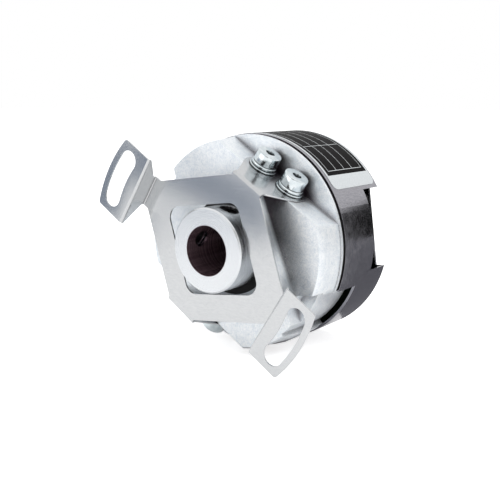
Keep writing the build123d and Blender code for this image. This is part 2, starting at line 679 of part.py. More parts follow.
def light_source():
    """Lamp with a domed end, seated at the bottom of the holder's bore."""
    body_front = LAMP_FRONT + LAMP_FLANGE
    body_back = body_front + LAMP_BODY
    body = lamp_bar(LAMP_RADIUS, LAMP_FRONT, body_front) + lamp_bar(LAMP_RADIUS - 0.1, body_front, body_back)
    return at_angle(SCAN_ANGLE, body + Pos(SCAN_RADIUS, body_back, 0) * Sphere(LAMP_RADIUS - 0.1))


def collimator_lens():
    return at_angle(SCAN_ANGLE, lamp_bar(LAMP_RADIUS, LENS_BACK - LENS_LENGTH, LENS_BACK))


def emitter_ribbon():
    """Flat lead from the emitter, past the disc's edge, to the board."""
    outside = (HOLDER_OUTER, HOLDER_OUTER + RIBBON_THICKNESS)
    return at_angle(SCAN_ANGLE, block(outside, (LAMP_FRONT, BOARD_FRONT), (-RIBBON_HALF, RIBBON_HALF)))


def scanning_mask():
    reach = (SENSOR_INNER + 0.4, SENSOR_OUTER)
    width = (1.0 - SENSOR_HALF, SENSOR_HALF - 1.0)
    return at_angle(SCAN_ANGLE, block(reach, (MASK_FRONT, MASK_BACK), width))


def photo_sensor():
    width = (-SENSOR_HALF, SENSOR_HALF)
    return at_angle(SCAN_ANGLE, block((SENSOR_INNER, SENSOR_OUTER), (MASK_BACK, BOARD_FRONT), width))


# Main board

def standoff_places():
    return [polar(STANDOFF_RADIUS, angle) for angle in STANDOFF_ANGLES]


def main_board():
    """Round circuit board with one flat edge at the cover's cut-out."""
    edge = Pos(BOARD_FLAT, 0) * Rectangle(BOARD_RADIUS, 3 * BOARD_RADIUS, align=(Align.MIN, Align.CENTER))
    shape = at_angle(CUTOUT_ANGLE, slab(Circle(BOARD_RADIUS) - edge, BOARD_FRONT, BOARD_BACK))
    for place in standoff_places():
        shape -= bar_back(M2_HOLE_RADIUS, place, BOARD_FRONT - 1, BOARD_BACK + 1)
    return shape


def board_standoffs():
    """Hexagonal pillars on the spigot's end, bored for the board screws."""
    bottom = BOARD_BACK - M2_LENGTH - 0.4
    pillars = []
    for place in standoff_places():
        pillar = hex_bar(STANDOFF_FLATS, place, SPIGOT_BACK, BOARD_FRONT)
        pillars.append(pillar - bar_back(M2_RADIUS, place, bottom, BOARD_FRONT + 1))
    return pillars


def board_screws():
    """Pan head screws from the back of the board into the standoffs."""
    screws = []
    for place in standoff_places():
        head = bar_back(M2_HEAD_RADIUS, place, BOARD_BACK, BOARD_BACK + M2_HEAD_HEIGHT)
        screws.append(head + bar_back(M2_RADIUS, place, BOARD_BACK - M2_LENGTH, BOARD_BACK))
    return screws


def on_board(side, up, outline, height):
    """A package on the back of the board, placed by shares of the board's radius."""
    place = Pos(side * BOARD_RADIUS, up * BOARD_RADIUS)
    return slab(place * outline, BOARD_BACK, BOARD_BACK + height)


def board_chips():
    """One square processor and three small packages."""
    small = Rectangle(SMALL_CHIP_LENGTH, SMALL_CHIP_WIDTH)
    shapes = [on_board(-0.23, 0.12, Rectangle(CHIP_SIDE, CHIP_SIDE), CHIP_HEIGHT)]
    for side, up in ((-0.57, -0.27), (0.16, -0.53), (0.08, 0.57)):
        shapes.append(on_board(side, up, small, CHIP_HEIGHT))
    return shapes


def board_capacitors():
    """Two round cans and a row of small block capacitors."""
    can_height = HEADER_TOP - BOARD_BACK - CAN_GAP
    shapes = [on_board(side, up, Circle(CAN_RADIUS), can_height) for side, up in ((-0.27, -0.55), (-0.31, 0.6))]
    small = Rectangle(CAPACITOR_WIDTH, CAPACITOR_LENGTH)
    row = on_board(-0.03, -0.3, small, CAPACITOR_HEIGHT)
    for index in range(CAPACITOR_COUNT):
        shapes.append(Pos(index * CAPACITOR_PITCH, 0, 0) * row)
    return shapes


def plug_header():
    """Socket housing on the board, open outwards through the cover's cut-out."""
    half = HEADER_HALF - HEADER_WALL
    mouth = HEADER_FACE + 5
    shape = block((HEADER_START, HEADER_FACE), (BOARD_BACK, HEADER_TOP), (-HEADER_HALF, HEADER_HALF))
    room = (BOARD_BACK + HEADER_WALL, HEADER_TOP - HEADER_WALL)
    shape -= block((HEADER_START + HEADER_FLOOR, mouth), room, (-half, half))
    key = (-HEADER_KEY_HALF, HEADER_KEY_HALF)
    shape -= block((HEADER_START + 2 * HEADER_FLOOR, mouth), (HEADER_TOP - 1, HEADER_TOP + 1), key)
    shape = at_angle(CUTOUT_ANGLE, shape)
    for pin in plug_pins():
        shape -= pin
    return shape


def plug_pins():
    """One row of square pins that stand in the header's floor."""
    middle = (BOARD_BACK + HEADER_TOP) / 2
    height = (middle - PIN_HALF, middle + PIN_HALF)
    first = -PIN_PITCH * (PIN_COUNT - 1) / 2
    pins = []
    for index in range(PIN_COUNT):
        place = first + index * PIN_PITCH
        width = (place - PIN_HALF, place + PIN_HALF)
        pins.append(block((HEADER_START + PIN_HALF, HEADER_FACE - PIN_SETBACK), height, width))
    return [at_angle(CUTOUT_ANGLE, pin) for pin in pins]


NODES = {
    "hollow_shaft": hollow_shaft,
    "hub_set_screws": hub_set_screws,
    "bearing_spacer": bearing_spacer,
    "front_inner_ring": lambda: inner_ring(FRONT_BEARING),
    "rear_inner_ring": lambda: inner_ring(REAR_BEARING),
    "shaft_retaining_ring": shaft_retaining_ring,
    "disc_hub": disc_hub,
    "code_disc": code_disc,
    "disc_nut": disc_nut,
    "front_ball_cage": lambda: ball_cage(FRONT_BEARING),
    "front_balls": lambda: balls(FRONT_BEARING),
    "rear_ball_cage": lambda: ball_cage(REAR_BEARING),
    "rear_balls": lambda: balls(REAR_BEARING),
    "mounting_flange": mounting_flange,
    "shaft_seal": shaft_seal,
    "front_outer_ring": lambda: outer_ring(FRONT_BEARING),
    "rear_outer_ring": lambda: outer_ring(REAR_BEARING),
    "preload_washer": preload_washer,
    "housing_retaining_ring": housing_retaining_ring,
    "cover_seal": cover_seal,
    "stator_coupling": stator_coupling,
    "coupling_screws": coupling_screws,
    "coupling_flat_washers": coupling_flat_washers,
    "coupling_spring_washers": coupling_spring_washers,
    "rear_cover": rear_cover,
    "emitter_holder": emitter_holder,
    "light_source": light_source,
    "collimator_lens": collimator_lens,
    "emitter_ribbon": emitter_ribbon,
    "scanning_mask": scanning_mask,
    "photo_sensor": photo_sensor,
    "main_board": main_board,
    "board_standoffs": board_standoffs,
    "board_screws": board_screws,
    "board_chips": board_chips,
    "board_capacitors": board_capacitors,
    "plug_header": plug_header,
    "plug_pins": plug_pins,
}


def main():
    os.makedirs("parts", exist_ok=True)
    for name, build in NODES.items():
        made = build()
        shape = Compound(children=made) if isinstance(made, list) else made
        shape.label = name
        export_step(shape, f"parts/{name}.step")


main()
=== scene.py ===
import json
import math
import bmesh
import bpy
from mathutils import Matrix, Quaternion, Vector


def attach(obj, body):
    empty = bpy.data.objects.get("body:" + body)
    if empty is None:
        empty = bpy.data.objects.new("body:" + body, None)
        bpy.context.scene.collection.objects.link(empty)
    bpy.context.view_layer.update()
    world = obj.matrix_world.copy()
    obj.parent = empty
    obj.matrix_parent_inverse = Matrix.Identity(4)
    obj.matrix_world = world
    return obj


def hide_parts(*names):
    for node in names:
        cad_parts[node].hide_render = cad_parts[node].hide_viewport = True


# Incremental rotary encoder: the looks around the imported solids.
# Lengths are in millimetres and angles in degrees, unless a comment says otherwise. mm() gives metres.
# The shaft runs along Y, the hub and the coupling face -Y, and +Z is up.

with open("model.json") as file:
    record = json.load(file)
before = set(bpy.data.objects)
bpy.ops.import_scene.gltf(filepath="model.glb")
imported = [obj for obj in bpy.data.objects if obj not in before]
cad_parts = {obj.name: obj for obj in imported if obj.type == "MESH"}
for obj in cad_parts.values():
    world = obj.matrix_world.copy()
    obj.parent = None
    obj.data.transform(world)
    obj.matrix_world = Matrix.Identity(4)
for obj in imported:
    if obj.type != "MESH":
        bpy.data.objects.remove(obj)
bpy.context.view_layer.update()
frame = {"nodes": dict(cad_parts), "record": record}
NODES = frame["nodes"]
BODIES = frame["record"]["behaviour"]["bodies"]
BODY_OF = {node: body for body, nodes in BODIES.items() for node in nodes}

# Sizes of the solids, which the drawn pieces and the finishes follow
COVER_RADIUS = 26.7
BORE_RADIUS = 6.0
FLANGE_FRONT = 9.1
TAB_ANGLE = 57.4
TAB_SEAT = 19.7
SET_SCREW_DEPTH = 5.0
SET_SCREW_ANGLE = 72.0
SET_SCREW_TURN = 90.0
DISC_BACK = 30.5

# Where the coupling's plate shades the flange's front face: how deep, and how far each edge fades
SHADED_DEPTH = FLANGE_FRONT + 0.4
SHADED_LEFT_EDGE = (14.0, 15.2)
SHADED_LOWER_EDGE = (-15.0, -10.0)
SHADED_LEAN = 0.4

# Coupling screws and their washers
SCREW_DEPTH = 13.0
SCREW_SPACING = 9.0
SCREW_RADIUS = 1.5
SCREW_LENGTH = 8.0
SCREW_TIP = 0.3
TIP_RADIUS = 1.3
HEAD_RADIUS = 3.0
HEAD_HEIGHT = 2.8
HEAD_CORNER = 0.25
HEAD_RING_RADIUS = 1.9
RECESS_DEPTH = 1.9
RECESS_WALL_DEPTH = 1.6
RECESS_MOUTH_RADIUS = 1.1
RECESS_FLOOR_RADIUS = 0.7
RECESS_TURNS = (20, 110)
ARM_DEPTH = 3.0
ARM_LENGTH = 3.1
ARM_WIDTH = 0.62
ARM_TAPER = 0.55
ARM_RAISE = 0.1
FLAT_WASHER = 0.5
FLAT_WASHER_RADIUS = 3.5
FLAT_WASHER_HOLE = 1.6
FLAT_WASHER_CORNER = 0.16
SPRING_WASHER = 0.8
SPRING_WASHER_MIDDLE = 2.4
SPRING_WASHER_HALF_WIDTH = 0.8
SPRING_WASHER_TURNS = 0.965
SPRING_WASHER_CLEARANCE = 0.02

# Thread turns in the set screw holes, and the lines of the code disc
THREAD_RADIUS = 2.06
THREAD_START = 6.15
THREAD_PITCH = 0.8
THREAD_TURNS = 1.3
DISC_LINES = 360
TRACK_INNER = 17.2
TRACK_OUTER = 19.2
TRACK_MIDDLE = 18.0
LINE_HEIGHT = 0.02

# Foil label on the cover, and the ruled boxes on it
LABEL_START = 31.8
LABEL_END = 118.0
LABEL_FRONT = 19.6
LABEL_BACK = 39.0
LABEL_WIDTH = math.radians(LABEL_END - LABEL_START) * COVER_RADIUS
LABEL_HEIGHT = LABEL_BACK - LABEL_FRONT
LABEL_GAP = 0.01
LABEL_THICKNESS = 0.06
LABEL_CORNER = 1.8
FIELD_LEFT = 3.8
FIELD_RIGHT = LABEL_WIDTH - 1.2
FIELD_EDGE = 0.7
RULE = 0.15
RULES_LEFT = 5.0
RULES_RIGHT = LABEL_WIDTH - 2.4
RULES_EDGE = 1.9
RULED_ROWS = (5.6, 9.3, 13.0)
RULED_COLUMN = 14.0

# Facets and edges of the finished pieces
JOIN_DISTANCE = 0.0005
SEAM_DISTANCE = 0.001
FLAT_ANGLE = 0.3
CAD_SHARP_ANGLE = 35.0
DRAWN_SHARP_ANGLE = 32.0
EDGE_RADIUS = {"mounting_flange": 0.1, "stator_coupling": 0.1, "hollow_shaft": 0.06, "rear_cover": 0.05}
FASTENERS = ("coupling_screws", "coupling_flat_washers", "coupling_spring_washers")

# Stage, in metres
FLOOR_SIZE = 8.0
CAMERA_PLACE = (0.119137, -0.140030, 0.035016)
CAMERA_BACK = (0.593911, -0.782732, 0.186010)


def mm(value):
    return value / 1000.0


def per_mm(size):
    """Scale of a noise or wave pattern whose grain is this many millimetres."""
    return 1000.0 / size


def colour(code):
    """An sRGB hex colour as the linear colour that a shader takes."""
    parts = [int(code[i:i + 2], 16) / 255 for i in (1, 3, 5)]
    linear = [p / 12.92 if p <= 0.04045 else ((p + 0.055) / 1.055) ** 2.4 for p in parts]
    return (*linear, 1.0)


# Node trees

def add(tree, kind, inputs=None, **settings):
    """Adds a node to a tree, with its settings, and fills or links its sockets."""
    node = tree.nodes.new(kind)
    for name, value in settings.items():
        setattr(node, name, value)
    for key, value in (inputs or {}).items():
        if isinstance(value, bpy.types.NodeSocket):
            tree.links.new(value, node.inputs[key])
        else:
            node.inputs[key].default_value = value
    return node


def maths(tree, operation, *values, **settings):
    """Result of a sum, product or comparison of sockets and numbers."""
    inputs = dict(enumerate(values))
    return add(tree, "ShaderNodeMath", inputs, operation=operation, **settings).outputs[0]


def mixed(tree, share, first, second, **settings):
    """A colour between two others."""
    inputs = {"Factor": share, "A": first, "B": second}
    return add(tree, "ShaderNodeMix", inputs, data_type="RGBA", **settings).outputs["Result"]


def ramp(tree, source, stops):
    """A colour ramp from positions and hex colours."""
    node = add(tree, "ShaderNodeValToRGB", {"Fac": source})
    points = node.color_ramp.elements
    for point, (place, code) in zip(points, stops):
        point.position = place
        point.color = colour(code)
    return node.outputs["Color"]


def between(tree, source, low, high):
    """A 0 to 1 value spread between two others."""
    return add(tree, "ShaderNodeMapRange", {
        "Value": source, "To Min": low, "To Max": high}).outputs["Result"]


def rising(tree, source, low, high):
    """0 below one length, 1 above another, and a slope between them."""
    return add(tree, "ShaderNodeMapRange", {
        "Value": source, "From Min": mm(low), "From Max": mm(high)}).outputs["Result"]


def place_of(tree):
    """Place on the piece as X, Y and Z sockets, in metres."""
    place = add(tree, "ShaderNodeTexCoord").outputs["Object"]
    return add(tree, "ShaderNodeSeparateXYZ", {"Vector": place}).outputs


def radius_of(tree):
    """Distance from the shaft's axis, in metres."""
    parts = place_of(tree)
    flat = add(tree, "ShaderNodeCombineXYZ", {"X": parts["X"], "Y": parts["Z"]}).outputs["Vector"]
    return add(tree, "ShaderNodeVectorMath", {0: flat}, operation="LENGTH").outputs["Value"]


def grain(tree, size, stretch=(1, 1, 1), detail=3.0, roughness=0.6):
    """Noise in object space whose grain is this many millimetres, stretched along an axis."""
    place = add(tree, "ShaderNodeTexCoord").outputs["Object"]
    moved = add(tree, "ShaderNodeMapping", {"Vector": place, "Scale": stretch}).outputs["Vector"]
    return add(tree, "ShaderNodeTexNoise", {
        "Vector": moved, "Scale": per_mm(size), "Detail": detail, "Roughness": roughness}).outputs["Fac"]


def bumped(tree, height, strength, distance):
    """A bump whose full height is a distance in millimetres."""
    return add(tree, "ShaderNodeBump", {
        "Height": height, "Strength": strength, "Distance": mm(distance)}).outputs["Normal"]


def painted_shade(tree, base, reach, tint, low=0.35, high=0.95):
    """A base colour with painted shade: it turns dark where other metal stands close in front of it."""
    shade = add(tree, "ShaderNodeAmbientOcclusion", {"Distance": mm(reach)}, samples=8).outputs["AO"]
    shade_colour = ramp(tree, shade, [(low, tint), (high, "#FFFFFF")])
    return mixed(tree, 1.0, base, shade_colour, blend_type="MULTIPLY")


def empty_material(name):
    """A new material and its node tree, with no nodes."""
    material = bpy.data.materials.new(name)
    material.use_nodes = True
    material.node_tree.nodes.clear()
    return material, material.node_tree


def new_material(name):
    """A new material with its shader and output, ready for a finish."""
    material, tree = empty_material(name)
    shader = add(tree, "ShaderNodeBsdfPrincipled")
    add(tree, "ShaderNodeOutputMaterial", {"Surface": shader.outputs[0]})
    return material, tree, shader


def put(tree, shader, **values):
    """Sets or links the shader's sockets. A name's underscores stand for spaces."""
    for name, value in values.items():
        socket = shader.inputs[name.replace("_", " ")]
        if isinstance(value, bpy.types.NodeSocket):
            tree.links.new(value, socket)
        else:
            socket.default_value = value


# Finishes

def plate_shade_mask(tree):
    """1 on the flange's front face where it is right of the coupling's plate and above its lower end: there
    the flange's painted shade reaches further.
    """
    parts = place_of(tree)
    front = maths(tree, "LESS_THAN", parts["Y"], mm(SHADED_DEPTH))
    across = maths(tree, "MULTIPLY_ADD", parts["Z"], SHADED_LEAN, parts["X"])
    right = rising(tree, across, *SHADED_LEFT_EDGE)
    upper = rising(tree, parts["Z"], *SHADED_LOWER_EDGE)
    return maths(tree, "MULTIPLY", maths(tree, "MULTIPLY", right, upper), front)


def blasted_aluminium():
    """Die cast aluminium, fine blasted: a pale cool metal, mottled and with a sandy grain, with painted
    shade where other metal stands close in front of it.
    """
    material, tree, shader = new_material("blasted_aluminium")
    fine = grain(tree, 0.28, detail=4.0, roughness=0.7)
    broad = grain(tree, 3.5, detail=2.0)
    cloud = grain(tree, 1.3, detail=5.0, roughness=0.7)
    mottled = maths(tree, "MULTIPLY_ADD", cloud, 0.6, fine)
    pale = ramp(tree, between(tree, mottled, 0.0, 0.625), [(0.36, "#D8E0E8"), (0.6, "#FCFEFF")])
    # Painted shade: the pale metal turns dark brown near other metal, over a wider reach beside the
    # coupling's plate.
    wide = painted_shade(tree, pale, 14.0, "#302028", low=0.42, high=0.68)
    close = painted_shade(tree, pale, 4.0, "#4A3A44", low=0.34, high=0.76)
    put(tree, shader, Base_Color=mixed(tree, plate_shade_mask(tree), close, wide), Metallic=0.8,
        Roughness=between(tree, broad, 0.3, 0.4), Normal=bumped(tree, fine, 0.8, 0.06))
    return material


def rolled_stainless():
    """Cold rolled stainless spring sheet: satin, with a faint grain along the rolling direction, and
    painted shade right next to other metal.
    """
    material, tree, shader = new_material("rolled_stainless")
    lines = grain(tree, 0.3, stretch=(0.3, 1.0, 1.0), detail=4.0)
    speck = grain(tree, 0.25, detail=3.0)
    sheet = ramp(tree, lines, [(0.2, "#C3C5C7"), (0.8, "#D3D4D5")])
    # Painted shade: the sheet turns dark brown right next to other metal.
    put(tree, shader, Base_Color=painted_shade(tree, sheet, 1.3, "#3E2E2B", high=0.8), Metallic=1.0,
        Roughness=between(tree, speck, 0.14, 0.22), Normal=bumped(tree, speck, 0.2, 0.02))
    return material


def turned_steel():
    """Turned stainless steel: bright rings from the tool outside, with painted shade near other metal, and
    in the bore a darker brown, streaked along the axis, that is painted shade.
    """
    material, tree, shader = new_material("turned_steel")
    radius = radius_of(tree)
    along = maths(tree, "ADD", radius, place_of(tree)["Y"])
    line = add(tree, "ShaderNodeCombineXYZ", {"X": along}).outputs["Vector"]
    rings = add(tree, "ShaderNodeTexNoise", {
        "Vector": line, "Scale": per_mm(0.16), "Detail": 3.0, "Roughness": 0.6}).outputs["Fac"]
    in_bore = maths(tree, "LESS_THAN", radius, mm(BORE_RADIUS + 0.05))
    bright = ramp(tree, rings, [(0.35, "#D3D6DA"), (0.65, "#EDEFF1")])
    # Painted shade: the outside turns dark where other metal is near.
    outside = painted_shade(tree, bright, 5.0, "#2A1C22", low=0.4, high=0.9)
    # Painted shade in the bore: a dark brown, streaked along the axis.
    streaks = grain(tree, 1.6, stretch=(1.0, 0.03, 1.0), detail=2.0)
    dark = ramp(tree, streaks, [(0.3, "#5C464E"), (0.7, "#8E767E")])
    put(tree, shader, Base_Color=mixed(tree, in_bore, outside, dark),
        Metallic=between(tree, in_bore, 1.0, 0.6),
        Roughness=between(tree, rings, 0.22, 0.32), Normal=bumped(tree, rings, 0.8, 0.03))
    return material


def zinc_steel():
    """Bright zinc plated steel: a bluish glossy metal with a light cloudiness, and painted shade in its
    recesses and next to other metal.
    """
    material, tree, shader = new_material("zinc_steel")
    cloud = grain(tree, 1.2, detail=3.0)
    plating = ramp(tree, cloud, [(0.3, "#C9D3D7"), (0.7, "#E4EAEC")])
    # Painted shade: the plating turns near black in the recesses and where other metal is near.
    put(tree, shader, Base_Color=painted_shade(tree, plating, 2.5, "#15191A", low=0.3, high=0.75), Metallic=1.0,
        Roughness=between(tree, cloud, 0.08, 0.2), Normal=bumped(tree, cloud, 0.4, 0.05))
    return material


def dark_cover():
    """Drawn sheet metal cup, satin black chromated: a dark metal that shows soft reflections."""
    material, tree, shader = new_material("dark_satin_cover")
    fine = grain(tree, 0.3, stretch=(1.0, 0.25, 1.0), detail=3.0)
    cloud = grain(tree, 1.8, detail=4.0)
    put(tree, shader, Base_Color=ramp(tree, fine, [(0.3, "#939298"), (0.7, "#A5A4AA")]), Metallic=1.0,
        Roughness=between(tree, cloud, 0.12, 0.3), Normal=bumped(tree, cloud, 0.25, 0.04))
    return material


def ruled_field(tree):
    """1 on the label's printed field, 0 on its margin and on the rules of its empty boxes."""
    place = add(tree, "ShaderNodeUVMap", uv_map="label_mm").outputs["UV"]
    parts = add(tree, "ShaderNodeSeparateXYZ", {"Vector": place}).outputs

    def within(source, low, high):
        above = maths(tree, "GREATER_THAN", source, low)
        below = maths(tree, "LESS_THAN", source, high)
        return maths(tree, "MULTIPLY", above, below)

    def area(left, right, low, high):
        return maths(tree, "MULTIPLY", within(parts["X"], left, right), within(parts["Y"], low, high))

    field = area(FIELD_LEFT, FIELD_RIGHT, FIELD_EDGE, LABEL_HEIGHT - FIELD_EDGE)
    top = LABEL_HEIGHT - RULES_EDGE
    rules = area(RULES_LEFT, RULES_RIGHT, RULES_EDGE, RULES_EDGE + RULE)
    for low in (*RULED_ROWS, top - RULE):
        rules = maths(tree, "MAXIMUM", rules, area(RULES_LEFT, RULES_RIGHT, low, low + RULE))
    for left in (RULES_LEFT, RULED_COLUMN, RULES_RIGHT - RULE):
        rules = maths(tree, "MAXIMUM", rules, area(left, left + RULE, RULES_EDGE, top))
    return maths(tree, "SUBTRACT", field, rules, use_clamp=True)


def label_foil():
    """Printed aluminium foil label: a bare satin silver margin round a black field of empty ruled boxes."""
    material, tree, shader = new_material("printed_foil_label")
    black = ruled_field(tree)
    fine = grain(tree, 0.3)
    silver = ramp(tree, fine, [(0.3, "#D3D8DB"), (0.7, "#E6EAEC")])
    put(tree, shader, Base_Color=mixed(tree, black, silver, colour("#0C0B0C")),
        Metallic=maths(tree, "SUBTRACT", 1.0, black), Specular_IOR_Level=0.03,
        Roughness=between(tree, black, 0.34, 0.45), Normal=bumped(tree, fine, 0.12, 0.02))
    return material


def plain(name, tint, roughness, metallic=0.0, strength=0.2, **values):
    """A moulded, ground or turned finish: one tint with a fine grain in its gloss and its surface."""
    material, tree, shader = new_material(name)
    fine = grain(tree, 0.4)
    put(tree, shader, Base_Color=colour(tint), Metallic=metallic,
        Roughness=between(tree, fine, roughness - 0.05, roughness + 0.05),
        Normal=bumped(tree, fine, strength, 0.02), **values)
    return material


def all_finishes():
    """The finish of each node. Nodes of the same stuff share one material."""
    finishes = {
        "mounting_flange": blasted_aluminium(),
        "stator_coupling": rolled_stainless(),
        "hollow_shaft": turned_steel(),
        "rear_cover": dark_cover(),
    }
    zinc = zinc_steel()
    for node in (*FASTENERS, "board_screws"):
        finishes[node] = zinc
    black_steel = plain("black_oxide_steel", "#2A2827", 0.38, metallic=1.0)
    bearing_steel = plain("ground_bearing_steel", "#CFD2D6", 0.12, metallic=1.0, strength=0.05)
    aluminium = plain("turned_aluminium", "#D2D4D6", 0.3, metallic=1.0)
    black_plastic = plain("black_moulded_plastic", "#1E1E1F", 0.5)
    for node in ("hub_set_screws", "shaft_retaining_ring", "housing_retaining_ring"):
        finishes[node] = black_steel
    for place in ("front", "rear"):
        for kind in ("inner_ring", "outer_ring", "balls"):
            finishes[f"{place}_{kind}"] = bearing_steel
        finishes[f"{place}_ball_cage"] = plain(f"{place}_cage_polyamide", "#8A5A2C", 0.45)
    finishes["bearing_spacer"] = finishes["disc_hub"] = finishes["disc_nut"] = aluminium
    finishes["preload_washer"] = finishes["stator_coupling"]
    finishes["shaft_seal"] = finishes["cover_seal"] = plain("black_seal_rubber", "#161515", 0.6)
    for node in ("emitter_holder", "photo_sensor", "board_chips", "plug_header"):
        finishes[node] = black_plastic
    finishes["code_disc"] = finishes["scanning_mask"] = plain(
        "coated_disc_glass", "#BFD0CC", 0.08, strength=0.02, Transmission_Weight=0.6)
    finishes["light_source"] = finishes["collimator_lens"] = plain(
        "clear_lens_plastic", "#E8EEF0", 0.08, strength=0.02, Transmission_Weight=0.8)
    finishes["emitter_ribbon"] = plain("amber_flexible_circuit", "#A8651E", 0.35)
    finishes["main_board"] = plain("green_circuit_laminate", "#10281B", 0.4)
    finishes["board_standoffs"] = plain("turned_brass", "#C9A25A", 0.28, metallic=1.0)
    finishes["board_capacitors"] = plain("capacitor_cans", "#B9BBBD", 0.3, metallic=1.0)
    finishes["plug_pins"] = plain("gold_flash_pins", "#D8B45A", 0.22, metallic=1.0)
    return finishes


# Stage

def new_object(name, data):
    """A new object in the scene, at the origin."""
    thing = bpy.data.objects.new(name, data)
    bpy.context.scene.collection.objects.link(thing)
    return thing


def rectangle(name, width, height, material):
    """A flat sheet that faces up its own Z, as an object."""
    across, up = width / 2, height / 2
    mesh = bpy.data.meshes.new(name)
    corners = [(-across, -up, 0), (across, -up, 0), (across, up, 0), (-across, up, 0)]
    mesh.from_pydata(corners, [], [(0, 1, 2, 3)])
    mesh.materials.append(material)
    return new_object(name, mesh)


def stage_card(name, centre, normal, size, brightness, tint, roll=0.0):
    """A card beside the object that only its reflections see, rolled in its plane by some degrees."""
    material, tree = empty_material(name)
    glow = add(tree, "ShaderNodeEmission", {"Color": colour(tint), "Strength": brightness})
    add(tree, "ShaderNodeOutputMaterial", {"Surface": glow.outputs[0]})
    card = rectangle(name, *size, material)
    card.location = centre
    turn = Quaternion((0, 0, 1), math.radians(roll))
    card.rotation_euler = (Vector(normal).to_track_quat("Z", "Y") @ turn).to_euler()
    card.visible_camera = False
    card.visible_diffuse = False
    card.visible_shadow = False


def stage_cards():
    """Pale and dark surroundings for the bright metal. Places and sizes are in metres."""
    blue, grey, brown, white = "#B4C4DC", "#C6C6CE", "#9A7A84", "#FFFFFF"
    rearwards, upwards = (0.0, 1.0, 0.0), (0.0, 0.0, 1.0)
    stage_card("front_card", (-0.0808, -0.095, 0.0024), rearwards, (0.065, 0.021), 0.5, blue, roll=23)
    stage_card("left_card", (-0.142, -0.095, 0.003), rearwards, (0.048, 0.06), 0.5, blue)
    stage_card("right_card", (0.135, -0.235, 0.1), (-0.45, 0.78, -0.35), (0.13, 0.18), 0.03, brown)
    stage_card("back_card", (0.044, 0.083, 0.0105), (-0.6, -0.8, 0.0), (0.045, 0.027), 0.0, white)
    stage_card("upper_card", (-0.0673, -0.095, 0.0341), rearwards, (0.13, 0.044), 1.6, white, roll=23)
    stage_card("back_floor_card", (0.130, 0.2065, -0.0255), upwards, (0.401, 0.06), 0.36, grey, roll=50.9)


def white_floor():
    """A plain white floor just under the cover. It keeps the object's soft shadow."""
    material, tree = empty_material("white_paper")
    path = add(tree, "ShaderNodeLightPath").outputs
    seen = maths(tree, "MULTIPLY", path["Is Camera Ray"], 0.7)
    lift = maths(tree, "MULTIPLY_ADD", path["Is Glossy Ray"], 0.2, seen)
    paper = add(tree, "ShaderNodeBsdfDiffuse", {"Color": colour("#F4F4F4")})
    glow = add(tree, "ShaderNodeEmission", {"Strength": lift})
    both = add(tree, "ShaderNodeAddShader", {0: paper.outputs[0], 1: glow.outputs[0]})
    add(tree, "ShaderNodeOutputMaterial", {"Surface": both.outputs[0]})
    floor = rectangle("floor", FLOOR_SIZE, FLOOR_SIZE, material)
    floor.location = (0, 0, mm(-COVER_RADIUS - 0.1))


def white_world():
    """An even soft light, white to the camera, in reflections and through glass."""
    world = bpy.data.worlds.new("studio")
    world.use_nodes = True
    tree = world.node_tree
    tree.nodes.clear()
    path = add(tree, "ShaderNodeLightPath").outputs
    seen = maths(tree, "MAXIMUM", path["Is Camera Ray"], path["Is Glossy Ray"])
    seen = maths(tree, "MAXIMUM", seen, path["Is Transmission Ray"])
    strength = between(tree, seen, 0.75, 1.0)
    light = add(tree, "ShaderNodeBackground", {"Color": colour("#FFFFFF"), "Strength": strength})
    add(tree, "ShaderNodeOutputWorld", {"Surface": light.outputs[0]})
    bpy.context.scene.world = world


def top_softbox():
    """A large soft lamp above the object, left out of reflections. Its sizes are in metres and watts."""
    place, target = Vector((0.05, 0.05, 0.6)), Vector((0, 0.01, 0))
    lamp = bpy.data.lights.new("top_softbox", "AREA")
    lamp.shape = "RECTANGLE"
    lamp.size, lamp.size_y = 0.5, 0.4
    lamp.energy = 1.8
    holder = new_object("top_softbox", lamp)
    holder.location = place
    holder.rotation_euler = (place - target).to_track_quat("Z", "Y").to_euler()
    holder.visible_glossy = False


def add_camera():
    """The photograph's view: a long lens from the right, a little above the shaft."""
    lens = bpy.data.cameras.new("camera")
    lens.sensor_width = 36.0
    lens.lens = 57.6
    lens.clip_start = 0.01
    camera = new_object("camera", lens)
    back = Vector(CAMERA_BACK).normalized()
    right = Vector((0, 0, 1)).cross(back).normalized()
    axes = Matrix((right, back.cross(right), back)).transposed().to_4x4()
    camera.matrix_world = Matrix.Translation(CAMERA_PLACE) @ axes
    bpy.context.scene.camera = camera


# Meshes and pieces

def evaluated_mesh(thing):
    """An object's mesh as its modifiers leave it."""
    bpy.context.view_layer.update()
    return bpy.data.meshes.new_from_object(thing.evaluated_get(bpy.context.evaluated_depsgraph_get()))


def link_piece(name, mesh, body, material):
    """Makes a mesh a piece of the object that moves with a body."""
    piece = new_object(name, mesh)
    mesh.materials.clear()
    mesh.materials.append(material)
    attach(piece, body)
    return piece


